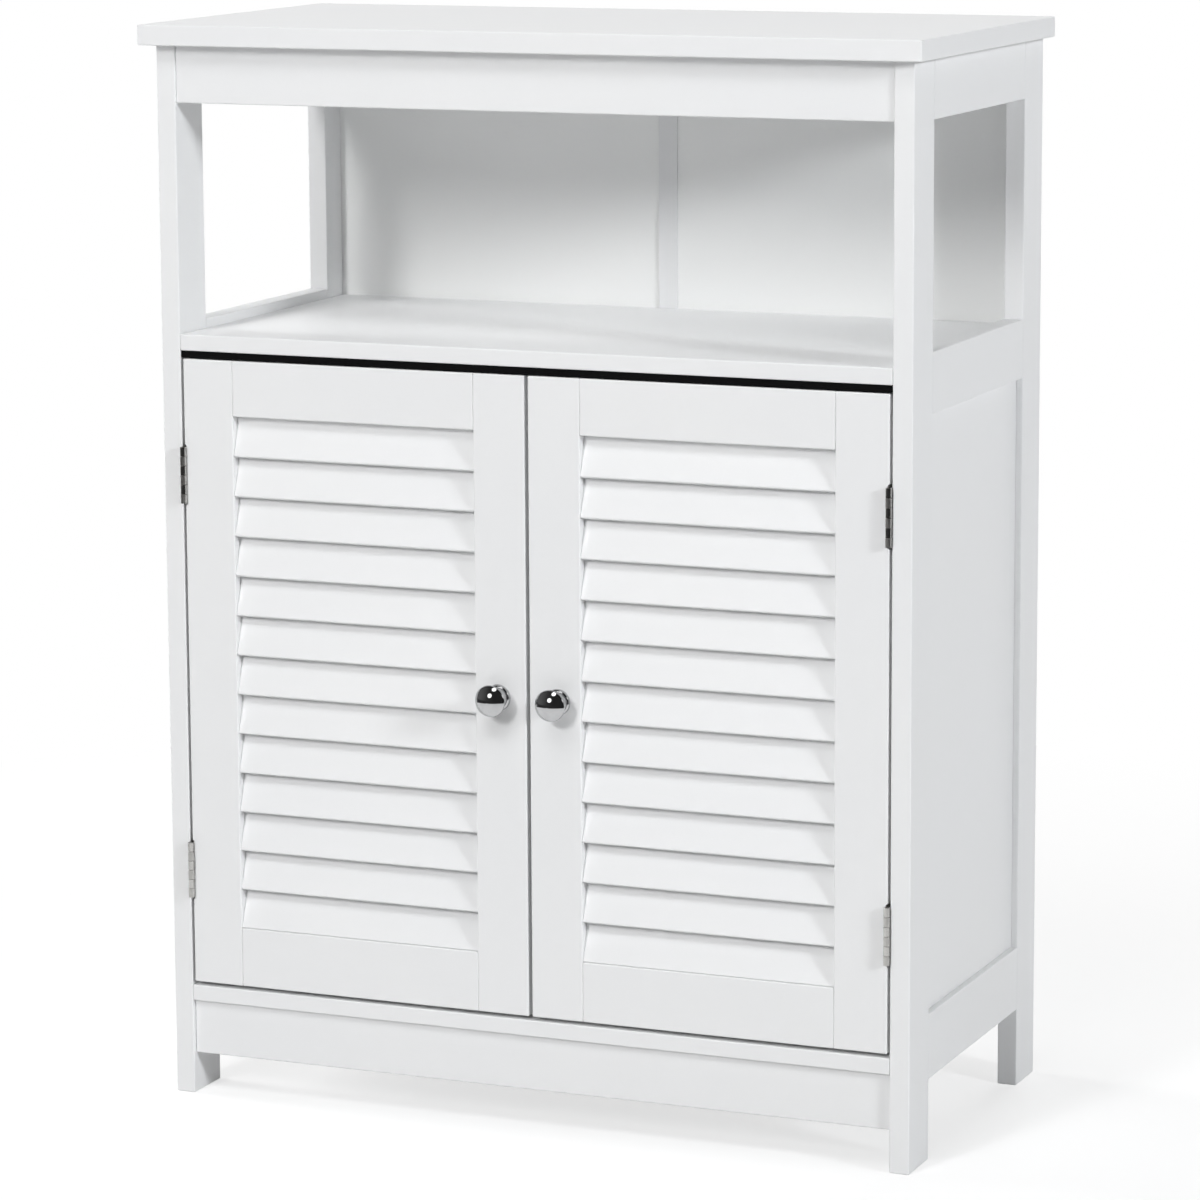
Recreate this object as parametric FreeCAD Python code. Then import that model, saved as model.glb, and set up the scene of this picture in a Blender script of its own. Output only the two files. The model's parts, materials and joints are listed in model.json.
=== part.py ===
import FreeCAD, Part
import math
import os

# A white cupboard: an open bay over a pair of louvred doors, standing on four board legs.
# Sizes are in millimetres. X runs to the right, Y to the back and Z up.
# The origin is on the floor, in the middle of the box round the closed cupboard, knobs included.
# The cupboard is the same on both sides, so the right side is made first and then mirrored.

# Top panel and the whole
top_width = 600.0
top_depth = 300.0
cabinet_height = 800.0
top_thickness = 15.0
side_overhang = 9.0  # top panel past the legs' outer faces
front_overhang = 12.0  # top panel past the legs' front faces
board_ease = 1.0  # rounding along the edges of every board

# Side frames
leg_thickness = 15.0  # the rails are as thick as the legs
front_leg_width = 42.0
rear_leg_width = 42.0
top_rail_height = 43.0
middle_rail_height = 44.0
middle_rail_lip = 7.0  # middle rail standing above the bay shelf
bottom_rail_height = 48.0
bottom_rail_drop = 12.5  # bottom rail hanging below the base panel
side_panel_thickness = 5.0
side_panel_setback = 5.0  # from the frame's outer face
side_groove_depth = 6.0
groove_clearance = 0.2  # room round a panel in its groove

# Boards across the front
apron_height = 42.0
apron_thickness = 15.0
apron_setback = 1.5
plinth_height = 41.0
plinth_thickness = 15.0
plinth_setback = 3.5
plinth_lift = 30.5  # floor to the plinth's lower edge

# Fixed shelves
base_thickness = 12.0
base_ledge = 10.0  # base panel past the back panels
shelf_thickness = 12.0
shelf_back_gap = 0.2

# Back
back_thickness = 3.0
back_inset = 12.0  # back panels in from the legs' rear faces
back_groove_depth = 5.0
strip_width = 15.0
strip_flange = 1.2
strip_web = 2.0
strip_clearance = 0.1
strip_notch_gap = 0.4  # room for the strip in the bay shelf's rear edge

# Loose shelf and its pins
inner_shelf_thickness = 12.0
inner_shelf_lift = 228.0  # base panel to the loose shelf
inner_shelf_side_gap = 1.0
inner_shelf_front_gap = 6.0  # behind the closed doors
inner_shelf_back_gap = 1.0
pin_diameter = 5.0
pin_bite = 8.0  # depth of a pin hole in a leg
pin_clearance = 0.05
pin_ledge_length = 9.0
pin_ledge_width = 7.0
pin_ledge_height = 3.0
pin_front_inset = 30.0  # from the front legs' front faces
pin_rear_inset = 10.0  # from the rear legs' front edges
pin_hole_step = 32.0
pin_hole_steps = (-1, 0, 1)

# Doors
door_height = 469.5
door_thickness = 16.0
door_side_gap = 2.0
door_middle_gap = 2.8
door_bottom_gap = 3.0
door_top_gap = 6.0
stile_width = 40.0
door_top_rail_height = 41.0
door_bottom_rail_height = 44.5

# Dust strip over the doors
dust_strip_thickness = 4.0
dust_strip_setback = 1.0  # from the bay shelf's front face
dust_strip_end_gap = 0.5
dust_strip_clearance = 1.0  # above the doors

# Slats
slat_count = 13
slat_thickness = 5.0
slat_tilt = math.radians(16.0)
slat_overlap = 2.5  # height that one slat stands behind the next
slat_setback = 1.0  # nose behind the door's face
slat_ease = 1.2
slat_clearance = 0.15
dado_depth = 5.0  # slat housing in a stile
dado_end_gap = 0.3

# Hinges
hinge_height = 42.0
hinge_inset = 86.0  # door's end to the middle of the hinge
hinge_recess = 1.6  # depth of the notch in the door's edge
hinge_end_gap = 0.6
hinge_forward = 2.2  # pin in front of the door's face
knuckle_diameter = 4.4
knuckle_count = 6
knuckle_gap = 0.3
knuckle_clearance = 0.2
leaf_thickness = 1.0
leaf_reach = 13.0  # leaf behind the door's face
leaf_screw_inset = 8.0
hinge_pin_diameter = 2.5
hinge_pin_clearance = 0.05

# Knobs
knob_side_offset = 2.0  # stile's middle to the knob's, away from the meeting edge
knob_dome_diameter = 23.2
knob_dome_depth = 5.75  # middle of the rim to the tip
knob_dome_offset = 14.4  # middle of the rim in front of the door
knob_rim_radius = 1.6
knob_tip_diameter = 0.6  # polished flat on the tip
knob_back_fall = 2.0  # from the back of the rim to the neck
knob_neck_diameter = 13.0
knob_flange_diameter = 19.4
knob_flange_thickness = 3.0
knob_flange_radius = 2.0
knob_flare_share = 0.3  # how far the flare's hollow is drawn in
knob_screw_diameter = 4.0
knob_screw_bite = 10.0
knob_screw_clearance = 0.05
knob_screw_hole_gap = 0.3
knob_head_diameter = 8.0
knob_head_thickness = 2.4

# Magnetic catch and strike plates
catch_depth = 14.0
catch_wall = 2.5
catch_ear_length = 9.0
catch_ear_thickness = 3.0
catch_gap = 0.5  # between a magnet and its strike plate
magnet_width = 12.0
magnet_height = 10.0
magnet_depth = 8.0
magnet_clearance = 0.1
strike_size = 14.0
strike_thickness = 1.0
strike_drop = 9.0  # door's top to the middle of the plate
strike_inset = 17.0  # door's meeting edge to the middle of the plate

# Wood screws
screw_diameter = 2.6
screw_length = 11.0
screw_head_diameter = 5.0
screw_head_depth = 1.3
screw_clearance = 0.06
screw_slot_length = 2.8
screw_slot_width = 0.7
screw_slot_depth = 0.8

# Dowels and cam fastenings
dowel_diameter = 6.0
dowel_depth = 15.0  # into the edge of a board
dowel_face_depth = 9.0  # into the face of a board
dowel_clearance = 0.05
dowel_end_gap = 0.5
dowel_inset = 25.0  # from the end of a side rail
dowel_spread_share = 0.25  # of a rail's height, each way from its middle
cam_diameter = 12.0
cam_depth = 9.0
cam_clearance = 0.1
cam_reach = 24.0  # joint to the middle of the cam
cam_bolt_diameter = 5.0
cam_bolt_bite = 9.0
cam_bolt_clearance = 0.1
cam_slot_length = 7.0
cam_slot_width = 1.4
cam_slot_depth = 2.0
cam_inset = 55.0  # from the end of a side rail
apron_cam_inset = 100.0  # from the end of the apron

overrun = 2.0  # how far a cutting shape passes the surface that it cuts

# Places that follow from the sizes
V = FreeCAD.Vector
RIGHT = V(1, 0, 0)
BACK = V(0, 1, 0)
UP = V(0, 0, 1)

leg_height = cabinet_height - top_thickness
case_half = top_width / 2 - side_overhang
inner_half = case_half - leg_thickness
case_depth = top_depth - front_overhang
knob_rim_ring = knob_dome_diameter / 2 - knob_rim_radius
knob_dome_squares = knob_rim_ring ** 2 + knob_dome_depth ** 2 - knob_rim_radius ** 2
knob_dome_radius = knob_dome_squares / (2 * (knob_dome_depth - knob_rim_radius))
knob_dome_middle = knob_dome_offset + knob_dome_depth - knob_dome_radius
knob_reach = knob_dome_middle + math.sqrt(knob_dome_radius ** 2 - (knob_tip_diameter / 2) ** 2)
front_reach = max(knob_reach, front_overhang)
face_y = (front_reach - case_depth) / 2
rear_y = face_y + case_depth
rail_front = face_y + front_leg_width
rail_back = rear_y - rear_leg_width
frame_middle = inner_half + leg_thickness / 2

base_low = plinth_lift + plinth_height
base_high = base_low + base_thickness
door_low = base_high + door_bottom_gap
door_high = door_low + door_height
shelf_low = door_high + door_top_gap
shelf_high = shelf_low + shelf_thickness
middle_rail_high = shelf_high + middle_rail_lip
middle_rail_low = middle_rail_high - middle_rail_height
bottom_rail_low = base_low - bottom_rail_drop
bottom_rail_high = bottom_rail_low + bottom_rail_height
top_rail_low = leg_height - top_rail_height
apron_low = leg_height - apron_height

back_rear = rear_y - back_inset
back_front = back_rear - back_thickness
strip_front = back_front - strip_clearance - strip_flange

door_edge = inner_half - door_side_gap
door_meeting = door_middle_gap / 2
door_back = face_y + door_thickness
door_middle_z = (door_low + door_high) / 2
louvre_low = door_low + door_bottom_rail_height
louvre_high = door_high - door_top_rail_height
louvre_left = door_meeting + stile_width
louvre_right = door_edge - stile_width
slat_pitch = (louvre_high - louvre_low) / slat_count
slat_width = (slat_pitch + slat_overlap) / math.cos(slat_tilt)

hinge_x = inner_half - (door_side_gap + hinge_recess) / 2
hinge_y = face_y - hinge_forward
hinge_heights = {"upper": door_high - hinge_inset, "lower": door_low + hinge_inset}

knob_x = door_meeting + stile_width / 2 + knob_side_offset
strike_x = door_meeting + strike_inset
strike_z = door_high - strike_drop
inner_shelf_low = base_high + inner_shelf_lift
pin_z = inner_shelf_low - pin_ledge_height / 2

pieces = {}  # one solid for each name
groups = {}  # many like solids for each name


def mirror(shape):
    """The same shape on the cupboard's left side."""
    return shape.mirror(V(), RIGHT)


def on_right(name):
    """True for what belongs to the right side alone, and is mirrored at the end."""
    return name.startswith("right_")


def cut_from(name, tool):
    """Cuts a shape out of a piece, on both sides where the piece spans the cupboard."""
    pieces[name] = pieces[name].cut(tool)
    if not on_right(name):
        pieces[name] = pieces[name].cut(mirror(tool))


def add_to(name, solid):
    """Adds a solid to a group, on both sides where the group spans the cupboard."""
    members = groups.setdefault(name, [])
    members.append(solid)
    if not on_right(name):
        members.append(mirror(solid))


def box(low, high):
    """A plain block between two corners."""
    size = high - low
    return Part.makeBox(size.x, size.y, size.z, low)


def board(low, high):
    """A block with rounded edges, as a painted board has."""
    block = box(low, high)
    return block.makeFillet(board_ease, block.Edges)


def rod(start, direction, diameter, length):
    """A round bar from a point along a direction."""
    return Part.makeCylinder(diameter / 2, length, start, direction)


def placed(solid, seat, direction):
    """A copy of a solid made along Z from the origin, set at a seat along a direction."""
    copy = solid.copy()
    copy.Placement = FreeCAD.Placement(seat, FreeCAD.Rotation(UP, direction))
    return copy


def cross_slot(length, width, depth):
    """The cross for a driver, cut down from the origin along Z."""
    one = box(V(-length / 2, -width / 2, -overrun), V(length / 2, width / 2, depth))
    other = box(V(-width / 2, -length / 2, -overrun), V(width / 2, length / 2, depth))
    return one.fuse(other)


def screw_body(room):
    """A countersunk screw along Z with its head at the origin, grown by some room."""
    head_radius = screw_head_diameter / 2 + room
    shank_radius = screw_diameter / 2 + room
    head = Part.makeCone(head_radius, shank_radius, screw_head_depth)
    shank = Part.makeCylinder(shank_radius, screw_length + room)
    return head.fuse(shank).removeSplitter()


def screw_joint(group, names, seat, direction):
    """Drives one wood screw through the named pieces."""
    room = placed(screw_body(screw_clearance), seat, direction)
    for name in names:
        cut_from(name, room)
    slot = cross_slot(screw_slot_length, screw_slot_width, screw_slot_depth)
    add_to(group, placed(screw_body(0).cut(slot), seat, direction))


def dowel_joint(group, near, far, seat, direction, near_depth, far_depth):
    """Glues one dowel across the joint at a seat, with the direction pointing into the far piece."""
    start = seat - direction * near_depth
    length = near_depth + far_depth
    hole_start = start - direction * dowel_end_gap
    hole_diameter = dowel_diameter + 2 * dowel_clearance
    hole = rod(hole_start, direction, hole_diameter, length + 2 * dowel_end_gap)
    cut_from(near, hole)
    cut_from(far, hole)
    add_to(group, rod(start, direction, dowel_diameter, length))


def cam_joint(holder, carrier, seat, direction, inward, axis_depth):
    """Draws two boards together: a bolt in the holder, and a cam let into a face of the carrier."""
    start = seat - direction * cam_bolt_bite
    length = cam_bolt_bite + cam_reach
    hole_diameter = cam_bolt_diameter + 2 * cam_bolt_clearance
    hole_start = start - direction * cam_bolt_clearance
    hole = rod(hole_start, direction, hole_diameter, length + 2 * cam_bolt_clearance)
    cut_from(holder, hole)
    cut_from(carrier, hole)
    mouth = seat + direction * cam_reach - inward * axis_depth
    pocket_diameter = cam_diameter + 2 * cam_clearance
    pocket_depth = cam_depth + cam_clearance + overrun
    cut_from(carrier, rod(mouth - inward * overrun, inward, pocket_diameter, pocket_depth))
    disc = Part.makeCylinder(cam_diameter / 2, cam_depth)
    disc = disc.cut(cross_slot(cam_slot_length, cam_slot_width, cam_slot_depth))
    add_to("cam_locks", placed(disc, mouth, inward).cut(hole))
    add_to("cam_bolts", rod(start, direction, cam_bolt_diameter, length))


def spread(low, high):
    """The two heights of a pair of dowels in the end of a rail."""
    step = (high - low) * dowel_spread_share
    middle = (low + high) / 2
    return (middle - step, middle + step)


def side_frame():
    """The right side: two legs, three rails and a panel in grooves below the window."""
    pieces["right_front_leg"] = board(V(inner_half, face_y, 0), V(case_half, rail_front, leg_height))
    pieces["right_rear_leg"] = board(V(inner_half, rail_back, 0), V(case_half, rear_y, leg_height))
    rails = {
        "right_top_rail": (top_rail_low, leg_height),
        "right_middle_rail": (middle_rail_low, middle_rail_high),
        "right_bottom_rail": (bottom_rail_low, bottom_rail_high),
    }
    for name, (low, high) in rails.items():
        pieces[name] = board(V(inner_half, rail_front, low), V(case_half, rail_back, high))
        for z in spread(low, high):
            front_seat = V(frame_middle, rail_front, z)
            back_seat = V(frame_middle, rail_back, z)
            dowel_joint("case_dowels", "right_front_leg", name, front_seat, BACK, dowel_depth, dowel_depth)
            dowel_joint("case_dowels", name, "right_rear_leg", back_seat, BACK, dowel_depth, dowel_depth)


def side_panel():
    """The thin panel below the window, loose in grooves round its four edges."""
    outer = case_half - side_panel_setback
    inner = outer - side_panel_thickness
    room = V(groove_clearance, groove_clearance, groove_clearance)
    low = V(inner, rail_front - side_groove_depth, bottom_rail_high - side_groove_depth) + room
    high = V(outer, rail_back + side_groove_depth, middle_rail_low + side_groove_depth) - room
    low.x = inner
    high.x = outer
    groove = box(low - room, high + room)
    for name in ("right_front_leg", "right_rear_leg", "right_middle_rail", "right_bottom_rail"):
        cut_from(name, groove)
    pieces["right_side_panel"] = box(low, high)


def front_boards():
    """The apron under the top and the plinth under the base, dowelled to the front legs."""
    boards = {
        "front_apron": (apron_setback, apron_thickness, apron_low, leg_height),
        "plinth_board": (plinth_setback, plinth_thickness, plinth_lift, base_low),
    }
    for name, (setback, thickness, low, high) in boards.items():
        front = face_y + setback
        pieces[name] = board(V(-inner_half, front, low), V(inner_half, front + thickness, high))
        for z in spread(low, high):
            seat = V(inner_half, front + thickness / 2, z)
            dowel_joint("case_dowels", name, "right_front_leg", seat, RIGHT, dowel_depth, dowel_face_depth)


def fixed_shelves():
    """The base panel and the bay shelf, dowelled and cammed to the side rails."""
    base_back = back_rear + base_ledge
    shelf_back = back_front - shelf_back_gap
    pieces["base_panel"] = board(V(-inner_half, face_y, base_low), V(inner_half, base_back, base_high))
    pieces["bay_shelf"] = board(V(-inner_half, face_y, shelf_low), V(inner_half, shelf_back, shelf_high))
    for name, rail, low, high in (
        ("base_panel", "right_bottom_rail", base_low, base_high),
        ("bay_shelf", "right_middle_rail", shelf_low, shelf_high),
    ):
        middle = (low + high) / 2
        for y in (rail_front + dowel_inset, rail_back - dowel_inset):
            seat = V(inner_half, y, middle)
            dowel_joint("case_dowels", name, rail, seat, RIGHT, dowel_depth, dowel_face_depth)
        for y in (rail_front + cam_inset, rail_back - cam_inset):
            seat = V(inner_half, y, middle)
            cam_joint(rail, name, seat, -RIGHT, UP, middle - low)


def top_panel():
    """The top, drawn down onto the side rails and the apron by cams."""
    low = V(-top_width / 2, face_y - front_overhang, leg_height)
    high = V(top_width / 2, rear_y, cabinet_height)
    pieces["top_panel"] = board(low, high)
    for y in (rail_front + cam_inset, rail_back - cam_inset):
        seat = V(frame_middle, y, leg_height)
        cam_joint("top_panel", "right_top_rail", seat, -UP, RIGHT, leg_thickness / 2)
    apron_middle = face_y + apron_setback + apron_thickness / 2
    seat = V(inner_half - apron_cam_inset, apron_middle, leg_height)
    cam_joint("top_panel", "front_apron", seat, -UP, -BACK, apron_thickness / 2)


def back():
    """Two thin panels in grooves all round, joined down the middle by a strip."""
    room = V(groove_clearance, groove_clearance, groove_clearance)
    groove_low = V(-inner_half - back_groove_depth, back_front, base_high - back_groove_depth)
    groove_high = V(inner_half + back_groove_depth, back_rear, leg_height + back_groove_depth)
    groove = box(groove_low - BACK * groove_clearance, groove_high + BACK * groove_clearance)
    for name in ("right_rear_leg", "base_panel", "top_panel"):
        cut_from(name, groove)
    low = groove_low + room
    high = groove_high - room
    low.x = strip_web / 2 + groove_clearance
    low.y = back_front
    high.y = back_rear
    pieces["right_back_panel"] = box(low, high)

    half = strip_width / 2
    web = strip_web / 2
    strip_back = back_rear + strip_clearance + strip_flange
    front_flange = box(V(-half, strip_front, base_high), V(half, strip_front + strip_flange, leg_height))
    rear_flange = box(V(-half, strip_back - strip_flange, base_high), V(half, strip_back, leg_height))
    middle = box(V(-web, strip_front, base_high), V(web, strip_back, leg_height))
    pieces["back_joining_strip"] = front_flange.fuse(middle).fuse(rear_flange).removeSplitter()

    notch_half = half + strip_notch_gap
    notch_low = V(-notch_half, strip_front - strip_notch_gap, shelf_low - overrun)
    notch_high = V(notch_half, back_rear, shelf_high + overrun)
    cut_from("bay_shelf", box(notch_low, notch_high))


def inner_shelf():
    """The loose shelf in the cupboard, on four pins in rows of holes in the legs."""
    half = inner_half - inner_shelf_side_gap
    front = door_back + inner_shelf_front_gap
    rear = strip_front - inner_shelf_back_gap
    high = inner_shelf_low + inner_shelf_thickness
    pieces["inner_shelf"] = board(V(-half, front, inner_shelf_low), V(half, rear, high))
    places = {
        "right_front_leg": face_y + pin_front_inset,
        "right_rear_leg": rail_back + pin_rear_inset,
    }
    hole_diameter = pin_diameter + 2 * pin_clearance
    for leg, y in places.items():
        for step in pin_hole_steps:
            mouth = V(inner_half - overrun, y, pin_z + step * pin_hole_step)
            cut_from(leg, rod(mouth, RIGHT, hole_diameter, pin_bite + overrun))
        plug = rod(V(inner_half, y, pin_z), RIGHT, pin_diameter, pin_bite)
        ledge = box(
            V(inner_half - pin_ledge_length, y - pin_ledge_width / 2, inner_shelf_low - pin_ledge_height),
            V(inner_half, y + pin_ledge_width / 2, inner_shelf_low),
        )
        add_to("shelf_pins", plug.fuse(ledge).removeSplitter())


def dust_strip():
    """The dark strip under the front of the bay shelf that fills the gap over the doors."""
    half = inner_half - dust_strip_end_gap
    front = face_y + dust_strip_setback
    low = V(-half, front, door_high + dust_strip_clearance)
    high = V(half, front + dust_strip_thickness, shelf_low)
    pieces["dust_strip"] = box(low, high)


def slat(nose_z, room, end_gap):
    """One slat across the right door, leaning back from its nose, grown by some room."""
    along = V(0, math.sin(slat_tilt), math.cos(slat_tilt))
    through = V(0, math.cos(slat_tilt), -math.sin(slat_tilt))
    left = louvre_left - dado_depth + end_gap
    right = louvre_right + dado_depth - end_gap
    nose = V(left, face_y + slat_setback, nose_z)
    front_low = nose - along * room - through * room
    front_high = front_low + along * (slat_width + 2 * room)
    back_step = through * (slat_thickness + 2 * room)
    outline = [front_low, front_high, front_high + back_step, front_low + back_step, front_low]
    return Part.Face(Part.makePolygon(outline)).extrude(RIGHT * (right - left))


def long_edges(solid):
    """The edges of a slat that run from stile to stile."""
    span = solid.BoundBox.XLength
    return [edge for edge in solid.Edges if edge.BoundBox.XLength > span / 2]


def door_frame():
    """The right door's two stiles and two rails, dowelled at the corners."""
    stiles = {
        "right_hinge_stile": (louvre_right, door_edge),
        "right_meeting_stile": (door_meeting, louvre_left),
    }
    for name, (left, right) in stiles.items():
        pieces[name] = board(V(left, face_y, door_low), V(right, door_back, door_high))
    rails = {
        "right_door_top_rail": (louvre_high, door_high),
        "right_door_bottom_rail": (door_low, louvre_low),
    }
    middle = (face_y + door_back) / 2
    for name, (low, high) in rails.items():
        pieces[name] = board(V(louvre_left, face_y, low), V(louvre_right, door_back, high))
        for z in spread(low, high):
            for stile, seat, way in (
                ("right_meeting_stile", V(louvre_left, middle, z), -RIGHT),
                ("right_hinge_stile", V(louvre_right, middle, z), RIGHT),
            ):
                dowel_joint("right_door_dowels", name, stile, seat, way, dowel_depth, dowel_depth)


def door_slats():
    """The right door's slats, housed in slanting grooves in the stiles."""
    rooms = []
    for number in range(slat_count):
        nose_z = louvre_low + number * slat_pitch
        solid = slat(nose_z, 0, dado_end_gap)
        add_to("right_door_slats", solid.makeFillet(slat_ease, long_edges(solid)))
        rooms.append(slat(nose_z, slat_clearance, 0))
    housings = Part.makeCompound(rooms)
    for name in ("right_hinge_stile", "right_meeting_stile"):
        cut_from(name, housings)
    cut_from("right_door_bottom_rail", rooms[0])
    cut_from("right_door_top_rail", rooms[-1])


def hinge_leaf(middle, plate_left, turn):
    """One leaf: a plate in the gap with every second knuckle round the pin."""
    low = middle - hinge_height / 2
    step = hinge_height / knuckle_count
    leaf = box(
        V(plate_left, hinge_y, low),
        V(plate_left + leaf_thickness, face_y + leaf_reach, low + hinge_height),
    )
    for number in range(knuckle_count):
        start = V(hinge_x, hinge_y, low + number * step)
        if number % 2 == turn:
            barrel_start = start + UP * knuckle_gap / 2
            leaf = leaf.fuse(rod(barrel_start, UP, knuckle_diameter, step - knuckle_gap))
        else:
            leaf = leaf.cut(rod(start, UP, knuckle_diameter + 2 * knuckle_clearance, step))
    bore_start = V(hinge_x, hinge_y, low - overrun)
    bore_diameter = hinge_pin_diameter + 2 * hinge_pin_clearance
    return leaf.cut(rod(bore_start, UP, bore_diameter, hinge_height + 2 * overrun)).removeSplitter()


def hinge_notch(middle):
    """The notch in the door's edge, with sloping ends, that takes a hinge."""
    half = hinge_height / 2 + hinge_end_gap
    floor = door_edge - hinge_recess
    mouth = door_edge + overrun
    mouth_half = half + hinge_recess + overrun
    front = face_y - overrun
    outline = [
        V(floor, front, middle - half),
        V(floor, front, middle + half),
        V(mouth, front, middle + mouth_half),
        V(mouth, front, middle - mouth_half),
        V(floor, front, middle - half),
    ]
    return Part.Face(Part.makePolygon(outline)).extrude(BACK * (door_thickness + 2 * overrun))


def hinges():
    """The right door's two butt hinges, each of two leaves, a pin and four screws."""
    frame_plate = inner_half - leaf_thickness
    door_plate = door_edge - hinge_recess
    screw_y = face_y + leaf_screw_inset
    for place, middle in hinge_heights.items():
        frame_leaf = "right_" + place + "_frame_leaf"
        door_leaf = "right_" + place + "_door_leaf"
        cut_from("right_hinge_stile", hinge_notch(middle))
        pieces[frame_leaf] = hinge_leaf(middle, frame_plate, 1)
        pieces[door_leaf] = hinge_leaf(middle, door_plate, 0)
        for z in spread(middle - hinge_height / 2, middle + hinge_height / 2):
            frame_seat = V(frame_plate, screw_y, z)
            door_seat = V(door_plate + leaf_thickness, screw_y, z)
            screw_joint("case_screws", (frame_leaf, "right_front_leg"), frame_seat, RIGHT)
            screw_joint("right_door_screws", (door_leaf, "right_hinge_stile"), door_seat, -RIGHT)
        pin_start = V(hinge_x, hinge_y, middle - hinge_height / 2)
        add_to("hinge_pins", rod(pin_start, UP, hinge_pin_diameter, hinge_height))


def knob():
    """The right knob, a shallow dome on a flared neck, and the screw that holds it from inside."""
    neck = knob_neck_diameter / 2
    flange = knob_flange_diameter / 2
    tip = knob_tip_diameter / 2
    flange_ring = flange - knob_flange_radius
    flange_side = knob_flange_thickness - knob_flange_radius
    flange_bend = knob_flange_radius * math.sin(math.pi / 4)
    rim_back = knob_dome_offset - knob_rim_radius
    neck_out = rim_back - knob_back_fall
    flare_r = neck + (flange_ring - neck) * knob_flare_share
    flare_out = knob_flange_thickness + (neck_out - knob_flange_thickness) * knob_flare_share
    dome_turn = math.asin(knob_rim_ring / (knob_dome_radius - knob_rim_radius))

    def at(radius, out):
        return V(knob_x + radius, face_y - out, door_middle_z)

    def on_dome(turn):
        return at(knob_dome_radius * math.sin(turn), knob_dome_middle + knob_dome_radius * math.cos(turn))

    rim_middle = at(knob_dome_diameter / 2, knob_dome_offset)
    edges = [
        Part.LineSegment(at(0, 0), at(flange, 0)),
        Part.LineSegment(at(flange, 0), at(flange, flange_side)),
        Part.Arc(at(flange, flange_side), at(flange_ring + flange_bend, flange_side + flange_bend),
                 at(flange_ring, knob_flange_thickness)),
        Part.Arc(at(flange_ring, knob_flange_thickness), at(flare_r, flare_out), at(neck, neck_out)),
        Part.LineSegment(at(neck, neck_out), at(knob_rim_ring, rim_back)),
        Part.Arc(at(knob_rim_ring, rim_back), rim_middle, on_dome(dome_turn)),
        Part.Arc(on_dome(dome_turn), on_dome(dome_turn / 2), at(tip, knob_reach)),
        Part.LineSegment(at(tip, knob_reach), at(0, knob_reach)),
        Part.LineSegment(at(0, knob_reach), at(0, 0)),
    ]
    outline = Part.Wire([edge.toShape() for edge in edges])
    turned = Part.Face(outline).revolve(at(0, 0), BACK, 360)
    tap_start = V(knob_x, face_y + overrun, door_middle_z)
    tap_diameter = knob_screw_diameter + 2 * knob_screw_clearance
    tap_length = overrun + knob_screw_bite + knob_screw_hole_gap
    pieces["right_knob"] = turned.cut(rod(tap_start, -BACK, tap_diameter, tap_length))

    hole_start = V(knob_x, door_back + overrun, door_middle_z)
    hole_diameter = knob_screw_diameter + 2 * knob_screw_hole_gap
    cut_from("right_meeting_stile", rod(hole_start, -BACK, hole_diameter, door_thickness + 2 * overrun))
    seat = V(knob_x, door_back, door_middle_z)
    shank = rod(seat, -BACK, knob_screw_diameter, door_thickness + knob_screw_bite)
    head = rod(seat, BACK, knob_head_diameter, knob_head_thickness)
    slot = cross_slot(screw_slot_length, screw_slot_width, screw_slot_depth)
    top = seat + BACK * knob_head_thickness
    pieces["right_knob_screw"] = head.fuse(shank).cut(placed(slot, top, -BACK)).removeSplitter()


def catch():
    """The magnetic catch under the bay shelf and the strike plate on the right door."""
    half_plate = strike_size / 2
    plate_back = door_back + strike_thickness
    plate_low = V(strike_x - half_plate, door_back, strike_z - half_plate)
    plate_high = V(strike_x + half_plate, plate_back, strike_z + half_plate)
    pieces["right_strike_plate"] = box(plate_low, plate_high)
    plate_seat = V(strike_x, plate_back, strike_z)
    plate_joint = ("right_strike_plate", "right_meeting_stile")
    screw_joint("right_door_screws", plate_joint, plate_seat, -BACK)

    front = plate_back + catch_gap
    body_half = strike_x + magnet_width / 2 + catch_wall
    ear_half = body_half + catch_ear_length
    body_low = V(-body_half, front, strike_z - magnet_height / 2 - catch_wall)
    ear_low = V(-ear_half, front, shelf_low - catch_ear_thickness)
    body = box(body_low, V(body_half, front + catch_depth, shelf_low))
    ears = box(ear_low, V(ear_half, front + catch_depth, shelf_low))
    pieces["door_catch"] = body.fuse(ears).removeSplitter()
    magnet_low = V(strike_x - magnet_width / 2, front, strike_z - magnet_height / 2)
    magnet_high = V(strike_x + magnet_width / 2, front + magnet_depth, strike_z + magnet_height / 2)
    room = V(magnet_clearance, magnet_clearance, magnet_clearance)
    cut_from("door_catch", box(magnet_low - room, magnet_high + room))
    add_to("catch_magnets", box(magnet_low, magnet_high))
    ear_seat = V(body_half + catch_ear_length / 2, front + catch_depth / 2, shelf_low - catch_ear_thickness)
    screw_joint("case_screws", ("door_catch", "bay_shelf"), ear_seat, UP)


def whole():
    """Every piece by name, with the left side mirrored from the right."""
    shapes = dict(pieces)
    for name, members in groups.items():
        shapes[name] = Part.makeCompound(members)
    for name in list(shapes):
        if on_right(name):
            shapes[name.replace("right_", "left_", 1)] = mirror(shapes[name])
    return shapes


side_frame()
side_panel()
front_boards()
fixed_shelves()
top_panel()
back()
inner_shelf()
dust_strip()
door_frame()
door_slats()
hinges()
knob()
catch()

os.makedirs("parts", exist_ok=True)
for name, shape in sorted(whole().items()):
    shape.exportStep("parts/" + name + ".step")
    print(name, "solids", len(shape.Solids), "volume", round(shape.Volume), "valid", shape.isValid())
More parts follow.
